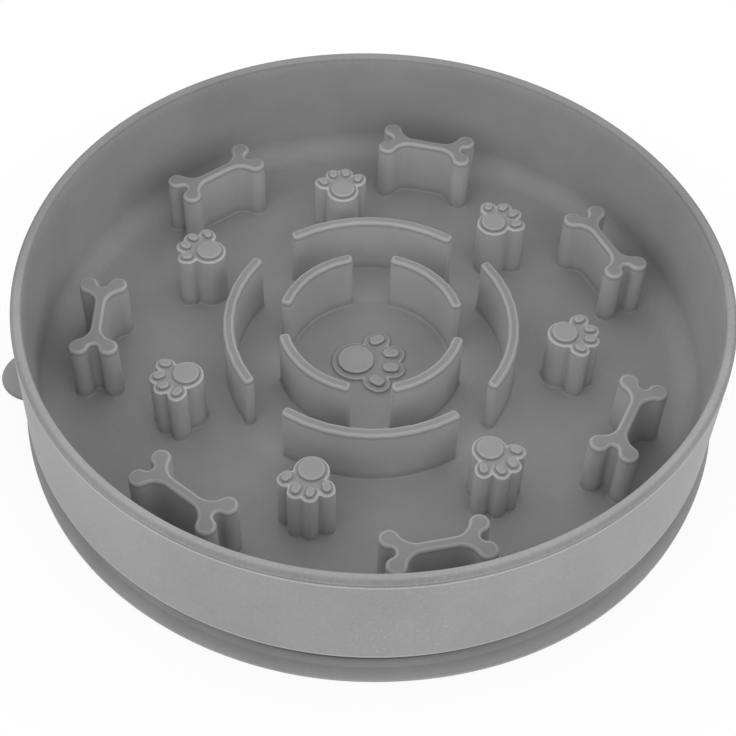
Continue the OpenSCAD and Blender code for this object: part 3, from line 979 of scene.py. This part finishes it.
class FEEDER_OT_base(bpy.types.Operator):
    """Build the suction base with its sealing lip"""

    bl_idname = "feeder.base"
    bl_label = "Suction base"
    bl_options = {"REGISTER", "UNDO"}

    def execute(self, context):
        sizes, bowl = context.scene.feeder_base, context.scene.feeder_bowl
        under = bowl.floor - bowl.floor_thickness
        edge = sizes.lip_thickness / 3
        neck = bowl.foot_radius - bowl.flare - bowl.wall - bowl.draft - bowl.corner - sizes.neck_inset
        seal = sizes.lip_radius - sizes.seal_width
        parts = np.linspace(0, 1, DOME_STEPS + 1)
        points = [(seal * part, sizes.hollow * (1 - part * part), 0.0) for part in parts]
        # Painted shade on the lip's lower and upper roundings
        points += rounded((sizes.lip_radius - edge, edge), edge, -90, 0, LIP_LOWER_SHADE)
        points += rounded((sizes.lip_radius - edge, sizes.lip_thickness - edge), edge, 0, 90,
                          LIP_UPPER_SHADE)
        points += [(sizes.lip_radius - sizes.lip_width, sizes.lip_thickness, 0.0),
                   (neck, under, 0.0), (0.0, under, 0.0)]
        turned_piece("base_moulding", section_points(points, support=LIP_SUPPORT), base_silicone(),
                     "suction_base", stray_of_lip(sizes), cut_recess)
        return {"FINISHED"}


class FEEDER_OT_tab(bpy.types.Operator):
    """Build the release tab, with cuts across it near its root"""

    bl_idname = "feeder.tab"
    bl_label = "Release tab"
    bl_options = {"REGISTER", "UNDO"}

    def execute(self, context):
        sizes = context.scene.feeder_base
        edge = (TAB_HIGH.z - TAB_LOW.z) / 2
        half = sizes.tab_width / 2 + sizes.tab_gap
        hinge = sizes.lip_radius - sizes.tab_root
        root = hinge - sizes.tab_embedded
        tip = max(hinge, sizes.lip_radius + sizes.tab_reach - half)
        outline = chain([
            bulge((tip, 0.0), half, -QUARTER, QUARTER),
            bulge((root + ROOT_ROUND, half - ROOT_ROUND), ROOT_ROUND, QUARTER, 2 * QUARTER),
            bulge((root + ROOT_ROUND, ROOT_ROUND - half), ROOT_ROUND, 2 * QUARTER, 3 * QUARTER)])
        turns = np.linspace(-QUARTER, QUARTER, TAB_EDGE_STEPS + 1)
        # Painted shade along the tab's edge, darkest halfway round it
        levels = [(edge * (math.cos(turn) - 1), edge * math.sin(turn), -max(0.0, math.cos(turn)))
                  for turn in turns]
        bm = bmesh.new()
        loft(bm, outline, levels)
        for reach in np.linspace(root + BEND_BEFORE, hinge + BEND_PAST, BEND_CUTS):
            bmesh.ops.bisect_plane(bm, geom=bm.verts[:] + bm.edges[:] + bm.faces[:],
                                   plane_co=(reach, 0, 0), plane_no=(1, 0, 0))
        middle = Vector((0, 0, TAB_LOW.z + edge))
        place = Matrix.Rotation(sizes.tab_angle, 4, "Z") @ Matrix.Translation(middle)
        bmesh.ops.transform(bm, matrix=place, verts=bm.verts)
        piece = finish_piece("tab_moulding", mesh_from(bm, "tab_moulding"), base_silicone(), None,
                             ["release_tab"])
        heading = Vector((math.cos(sizes.tab_angle), math.sin(sizes.tab_angle), 0))
        middle + heading * (hinge - BEND_HALF)
        middle + heading * (hinge + BEND_HALF)
        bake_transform(piece)
        return {"FINISHED"}


class FEEDER_OT_curved_walls(bpy.types.Operator):
    """Build the two broken rings of curved walls"""

    bl_idname = "feeder.curved_walls"
    bl_label = "Curved walls"
    bl_options = {"REGISTER", "UNDO"}

    def execute(self, context):
        sizes = context.scene.feeder_posts
        levels = post_levels(sizes.height, sizes.top_round, sizes.foot_fillet)
        rings = [("outer_walls", sizes.outer_ring, sizes.outer_slot, math.radians(90)),
                 ("inner_walls", sizes.inner_ring, sizes.inner_slot, math.radians(45))]
        for name, radius, slot, first in rings:
            bm = bmesh.new()
            loft(bm, curved_wall_outline(radius, slot, sizes), levels)
            values = {"Count": len(RING_NODES[name]), "Radius": 0.0, "First Direction": first}
            ring_piece(name, bm, values, post_silicone())
        return {"FINISHED"}


class FEEDER_OT_bones(bpy.types.Operator):
    """Build the ring of bones"""

    bl_idname = "feeder.bones"
    bl_label = "Bones"
    bl_options = {"REGISTER", "UNDO"}

    def execute(self, context):
        sizes = context.scene.feeder_posts
        bm = bmesh.new()
        loft(bm, bone_outline(sizes), post_levels(sizes.height, sizes.top_round, sizes.foot_fillet))
        values = {"Count": sizes.bone_count, "Radius": ring_radius("bone_1"),
                  "First Direction": sizes.bone_angle, "Post Turn": QUARTER}
        ring_piece("bones", bm, values, post_silicone())
        return {"FINISHED"}


def paw_mesh(sizes, scale, ledge, raised, rounding, foot):
    """A paw: a ledge that carries a raised pad and four raised toes."""
    bm = bmesh.new()
    loft(bm, paw_outline(sizes, scale), post_levels(ledge, rounding, foot))
    # Painted light on the top faces of the raised pad and toes, and painted highlights on their roundings
    relief = [(spread, height + ledge, painted_edge) for spread, height, painted_edge in
              post_levels(raised, rounding, 0.0, sunk=RELIEF_SUNK, painted=RELIEF_TOP_LIGHT)]
    loft(bm, stadium(0.0, sizes.pad * scale), relief)
    for centre, turn in toe_places(sizes):
        loft(bm, stadium(sizes.toe_stretch * scale / 2, sizes.toe * scale,
                         (centre[0] * scale, centre[1] * scale), turn), relief)
    return bm


class FEEDER_OT_paws(bpy.types.Operator):
    """Build the ring of paws and the paw in the well"""

    bl_idname = "feeder.paws"
    bl_label = "Paws"
    bl_options = {"REGISTER", "UNDO"}

    def execute(self, context):
        posts, paw = context.scene.feeder_posts, context.scene.feeder_paw
        bm = paw_mesh(paw, 1.0, posts.height - paw.raised, paw.raised, paw.rounding, posts.foot_fillet)
        values = {"Count": posts.paw_count, "Radius": posts.paw_ring,
                  "First Direction": posts.bone_angle + posts.paw_shift}
        ring_piece("paws", bm, values, post_silicone())
        low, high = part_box("well_paw")
        bm = paw_mesh(paw, paw.well_scale, paw.well_ledge, high.z - low.z - paw.well_ledge,
                      paw.well_rounding, paw.well_rounding)
        pad_edge = (paw.pad + paw.ledge) * paw.well_scale
        bmesh.ops.translate(bm, verts=bm.verts, vec=(low.x + pad_edge, 0, low.z))
        finish_piece("well_relief", mesh_from(bm, "well_relief"), bowl_silicone(), "bowl_body",
                     ["well_paw"])
        return {"FINISHED"}


class FEEDER_OT_stage(bpy.types.Operator):
    """Set the camera, the white surroundings and the light"""

    bl_idname = "feeder.stage"
    bl_label = "Stage"
    bl_options = {"REGISTER", "UNDO"}

    # Pinhole of the photograph, from a fit to the bowl's edges, in pixels of a square frame
    frame_px = 736
    focal_px = 1477.0
    centre_px = (369.4, 379.2)
    elevation = math.radians(50.12)
    azimuth = math.radians(-1.19)
    roll = math.radians(1.93)
    distance = 0.446
    sensor_mm = 36.0

    nearest, farthest = 0.01, 20.0

    # Heights in the sky, as the up part of a direction, between which the light rises and then falls
    sky_rises = (0.05, 0.35)
    sky_falls = (0.5, 0.95)

    # The floor, which other rays than the camera's see as grey
    floor_radius = 3.0
    floor_sides = 96
    floor_drop = 0.05 * MM
    floor_grey = (0.5, 0.5, 0.5)
    white = (1.0, 1.0, 1.0)

    # The soft lamps at the front
    window_size = 0.9
    window_places = {"window_left": (-0.5, -0.85, 0.83), "window_right": (0.5, -0.85, 0.83)}

    def execute(self, context):
        scene = context.scene
        self.camera(scene)
        self.world(scene)
        self.floor(scene)
        self.windows(scene)
        scene.view_settings.view_transform = "Standard"
        return {"FINISHED"}

    def camera(self, scene):
        data = bpy.data.cameras.new("camera")
        camera = bpy.data.objects.new("camera", data)
        scene.collection.objects.link(camera)
        data.sensor_width = self.sensor_mm
        data.lens = self.focal_px / self.frame_px * data.sensor_width
        half = self.frame_px / 2
        data.shift_x = (half - self.centre_px[0]) / self.frame_px
        data.shift_y = (self.centre_px[1] - half) / self.frame_px
        data.clip_start, data.clip_end = self.nearest, self.farthest
        turn = Matrix.Rotation(self.azimuth, 3, "Z")
        back = turn @ Vector((0, -math.cos(self.elevation), math.sin(self.elevation)))
        right = turn @ Vector((1, 0, 0))
        up = back.cross(right)
        tilt = Matrix.Rotation(self.roll, 3, back)
        axes = Matrix((tilt @ right, tilt @ up, back)).transposed()
        camera.matrix_world = Matrix.Translation(back * self.distance) @ axes.to_4x4()
        scene.camera = camera

    def seen(self, graph):
        """1 for a ray that shows the surroundings: from the camera, a reflection or through glass."""
        rays = graph.node("ShaderNodeLightPath", output="Is Camera Ray")
        glossy, through = graph.outputs(rays, "Is Glossy Ray", "Is Transmission Ray")
        return rays.math("MAXIMUM", glossy).math("MAXIMUM", through)

    def world(self, scene):
        """White to look at. As light, dimmer at the zenith and low down, above all at the front."""
        world = bpy.data.worlds.new("surroundings")
        world.use_nodes = True
        world.node_tree.nodes.clear()
        graph = Graph(world.node_tree)
        looks = scene.feeder_looks
        across, back, up = graph.split(graph.node("ShaderNodeTexCoord", output="Generated"))
        front = (back / (across * across + back * back) ** 0.5).math("MINIMUM", 0.0) ** 2.0
        risen = (up - front * looks.front).ramp(*self.sky_rises) * (1.0 - looks.horizon) + looks.horizon
        overhead = 1.0 - up.ramp(*self.sky_falls) * (1.0 - looks.zenith)
        light = overhead * risen * looks.ambient
        strength = light + self.seen(graph) * (1.0 - light)
        sky = graph.node("ShaderNodeBackground", inputs={"Color": (*self.white, 1.0), "Strength": strength})
        graph.node("ShaderNodeOutputWorld", inputs={"Surface": sky})
        scene.world = world

    def floor(self, scene):
        """A white floor that keeps some of the bowl's shadow close to it, and is grey to other rays."""
        bm = bmesh.new()
        bmesh.ops.create_circle(bm, cap_ends=True, segments=self.floor_sides, radius=self.floor_radius)
        bmesh.ops.translate(bm, verts=bm.verts, vec=(0, 0, -self.floor_drop))
        mesh = mesh_from(bm, "floor")
        material = bpy.data.materials.new("white_floor")
        material.use_nodes = True
        material.node_tree.nodes.clear()
        graph = Graph(material.node_tree)
        shade = graph.mix(self.seen(graph), self.floor_grey, self.white)
        paint = graph.node("ShaderNodeBsdfDiffuse", inputs={"Color": shade})
        glow = graph.node("ShaderNodeEmission", inputs={"Color": (*self.white, 1.0), "Strength": 1.0})
        across, back, _ = graph.split(graph.node("ShaderNodeTexCoord", output="Object"))
        lip = CAD_BOX[1].y
        near = 1.0 - ((across * across + back * back) ** 0.5).ramp(lip, 2 * lip)
        white = self.seen(graph) * (1.0 - near * scene.feeder_looks.shadow)
        mixed = graph.node("ShaderNodeMixShader", inputs={0: white, 1: paint, 2: glow})
        graph.node("ShaderNodeOutputMaterial", inputs={"Surface": mixed})
        mesh.materials.append(material)
        new_object("floor", mesh)

    def windows(self, scene):
        for name, place in self.window_places.items():
            data = bpy.data.lights.new(name, "AREA")
            data.shape, data.size = "DISK", self.window_size
            data.energy = scene.feeder_looks.windows
            lamp = bpy.data.objects.new(name, data)
            scene.collection.objects.link(lamp)
            turn = Vector(place).to_track_quat("Z", "Y").to_matrix().to_4x4()
            lamp.matrix_world = Matrix.Translation(place) @ turn


class FEEDER_PT_panel(bpy.types.Panel):
    """Lists the steps that build the bowl and its sizes"""

    bl_idname = "FEEDER_PT_panel"
    bl_label = "Slow Feeder Bowl"
    bl_space_type = "VIEW_3D"
    bl_region_type = "UI"
    bl_category = "Feeder"

    def draw(self, context):
        for step in STEPS:
            self.layout.operator(step.bl_idname)
        for name, group in SETTINGS.items():
            box = self.layout.box()
            box.label(text=group.__doc__)
            for prop in group.__annotations__:
                box.prop(getattr(context.scene, name), prop)


STEPS = (FEEDER_OT_stage, FEEDER_OT_bowl, FEEDER_OT_base, FEEDER_OT_tab, FEEDER_OT_curved_walls,
         FEEDER_OT_bones, FEEDER_OT_paws)
CLASSES = (*SETTINGS.values(), *STEPS, FEEDER_PT_panel)


def register():
    for cls in CLASSES:
        bpy.utils.register_class(cls)
    for name, group in SETTINGS.items():
        setattr(bpy.types.Scene, name, PointerProperty(type=group))


def unregister():
    for name in SETTINGS:
        delattr(bpy.types.Scene, name)
    for cls in reversed(CLASSES):
        bpy.utils.unregister_class(cls)


def main():
    register()
    for step in STEPS:
        section, name = step.bl_idname.split(".")
        getattr(getattr(bpy.ops, section), name)()


if __name__ == "__main__":
    main()
